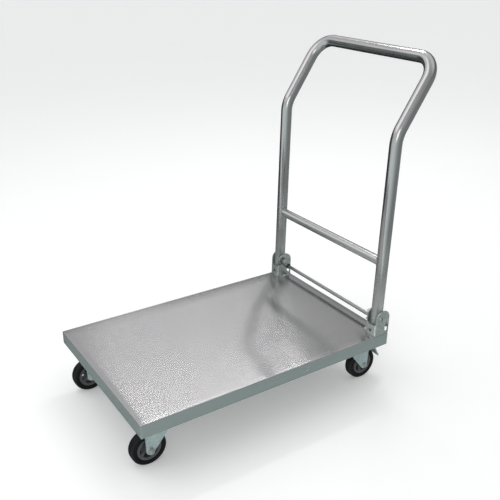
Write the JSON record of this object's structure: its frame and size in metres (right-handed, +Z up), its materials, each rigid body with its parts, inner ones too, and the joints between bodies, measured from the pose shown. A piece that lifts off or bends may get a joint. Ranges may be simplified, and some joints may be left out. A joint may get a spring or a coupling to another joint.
{
  "type": "folding platform cart",
  "caption": "Folding platform cart: flat sheet-steel deck on swivel casters, with a bent tube push handle that folds flat over the deck and a foot-operated lock rod.",
  "frame": {"origin": "on the floor, under the middle of the whole cart with its handle upright", "axes": "+Z up, +X towards the push handle, +Y to the right of a person pushing the cart"},
  "size_m": [0.8487, 0.4874, 0.8917],
  "materials": {
    "deck_steel": "brushed stainless sheet, satin, fine scratches from loads",
    "tube_steel": "polished stainless tube with fine lengthwise grain",
    "frame_steel": "plain galvanised sheet under the deck",
    "bracket_steel": "pressed stainless, bead-blasted satin",
    "caster_zinc": "bright zinc plate with a bluish tint",
    "fastener_zinc": "bright zinc plate",
    "spring_steel": "dark oiled spring steel",
    "hub_plastic": "dark grey moulded nylon",
    "tyre_rubber": "black solid rubber, slightly dusty tread"
  },
  "bodies": {
    "deck": {"deck_pan": "deck_steel", "caster_channel_front": "frame_steel", "caster_channel_rear": "frame_steel", "deck_stiffener_left": "frame_steel", "deck_stiffener_right": "frame_steel", "hinge_bracket_left": "bracket_steel", "hinge_bracket_right": "bracket_steel", "pivot_bolt_left": "fastener_zinc", "pivot_bolt_right": "fastener_zinc", "pivot_nut_left": "fastener_zinc", "pivot_nut_right": "fastener_zinc", "return_spring_left": "spring_steel", "return_spring_right": "spring_steel", "caster_plate_front_left": "caster_zinc", "caster_plate_front_right": "caster_zinc", "caster_plate_rear_left": "caster_zinc", "caster_plate_rear_right": "caster_zinc", "ball_race_front_left": "spring_steel", "ball_race_front_right": "spring_steel", "ball_race_rear_left": "spring_steel", "ball_race_rear_right": "spring_steel", "kingpin_front_left": "fastener_zinc", "kingpin_front_right": "fastener_zinc", "kingpin_rear_left": "fastener_zinc", "kingpin_rear_right": "fastener_zinc"},
    "handle": {"handle_tube": "tube_steel", "handle_crossbar": "tube_steel"},
    "lock_rod": {"lock_rod": "bracket_steel", "rod_clip_left": "spring_steel", "rod_clip_right": "spring_steel"},
    "fork_front_left": {"fork_front_left": "caster_zinc", "axle_bolt_front_left": "fastener_zinc", "axle_nut_front_left": "fastener_zinc", "axle_sleeve_front_left": "fastener_zinc"},
    "wheel_front_left": {"wheel_hub_front_left": "hub_plastic", "tyre_front_left": "tyre_rubber"},
    "fork_front_right": {"fork_front_right": "caster_zinc", "axle_bolt_front_right": "fastener_zinc", "axle_nut_front_right": "fastener_zinc", "axle_sleeve_front_right": "fastener_zinc"},
    "wheel_front_right": {"wheel_hub_front_right": "hub_plastic", "tyre_front_right": "tyre_rubber"},
    "fork_rear_left": {"fork_rear_left": "caster_zinc", "axle_bolt_rear_left": "fastener_zinc", "axle_nut_rear_left": "fastener_zinc", "axle_sleeve_rear_left": "fastener_zinc", "brake_pin_rear_left": "fastener_zinc"},
    "wheel_rear_left": {"wheel_hub_rear_left": "hub_plastic", "tyre_rear_left": "tyre_rubber"},
    "pedal_rear_left": {"brake_pedal_rear_left": "caster_zinc"},
    "fork_rear_right": {"fork_rear_right": "caster_zinc", "axle_bolt_rear_right": "fastener_zinc", "axle_nut_rear_right": "fastener_zinc", "axle_sleeve_rear_right": "fastener_zinc", "brake_pin_rear_right": "fastener_zinc"},
    "wheel_rear_right": {"wheel_hub_rear_right": "hub_plastic", "tyre_rear_right": "tyre_rubber"},
    "pedal_rear_right": {"brake_pedal_rear_right": "caster_zinc"}
  },
  "joints": [
    {"name": "handle_fold", "type": "hinge", "parent": "deck", "child": "handle", "pos_m": [0.2895, 0, 0.21], "axis": [0, -1, 0], "range_deg": [0, 90]},
    {"name": "lock_rod_press", "type": "slide", "parent": "deck", "child": "lock_rod", "axis": [0, 0, -1], "range_m": [0, 0.014], "stiffness_N_per_m": 600, "springref_m": -0.02, "deforming": ["return_spring_left", "return_spring_right"]},
    {"name": "swivel_front_left", "type": "hinge", "parent": "deck", "child": "fork_front_left", "pos_m": [-0.3535, -0.178, 0.11], "axis": [0, 0, 1], "continuous": true},
    {"name": "spin_front_left", "type": "hinge", "parent": "fork_front_left", "child": "wheel_front_left", "pos_m": [-0.3795, -0.178, 0.045], "axis": [0, 1, 0], "continuous": true},
    {"name": "swivel_front_right", "type": "hinge", "parent": "deck", "child": "fork_front_right", "pos_m": [-0.3535, 0.178, 0.11], "axis": [0, 0, 1], "continuous": true},
    {"name": "spin_front_right", "type": "hinge", "parent": "fork_front_right", "child": "wheel_front_right", "pos_m": [-0.3795, 0.178, 0.045], "axis": [0, 1, 0], "continuous": true},
    {"name": "swivel_rear_left", "type": "hinge", "parent": "deck", "child": "fork_rear_left", "pos_m": [0.2585, -0.178, 0.11], "axis": [0, 0, 1], "continuous": true},
    {"name": "spin_rear_left", "type": "hinge", "parent": "fork_rear_left", "child": "wheel_rear_left", "pos_m": [0.2845, -0.178, 0.045], "axis": [0, 1, 0], "continuous": true},
    {"name": "brake_rear_left", "type": "hinge", "parent": "fork_rear_left", "child": "pedal_rear_left", "pos_m": [0.2905, -0.178, 0.097], "axis": [0, 1, 0], "range_deg": [0, 10]},
    {"name": "swivel_rear_right", "type": "hinge", "parent": "deck", "child": "fork_rear_right", "pos_m": [0.2585, 0.178, 0.11], "axis": [0, 0, 1], "continuous": true},
    {"name": "spin_rear_right", "type": "hinge", "parent": "fork_rear_right", "child": "wheel_rear_right", "pos_m": [0.2845, 0.178, 0.045], "axis": [0, 1, 0], "continuous": true},
    {"name": "brake_rear_right", "type": "hinge", "parent": "fork_rear_right", "child": "pedal_rear_right", "pos_m": [0.2905, 0.178, 0.097], "axis": [0, 1, 0], "range_deg": [0, 10]}
  ]
}
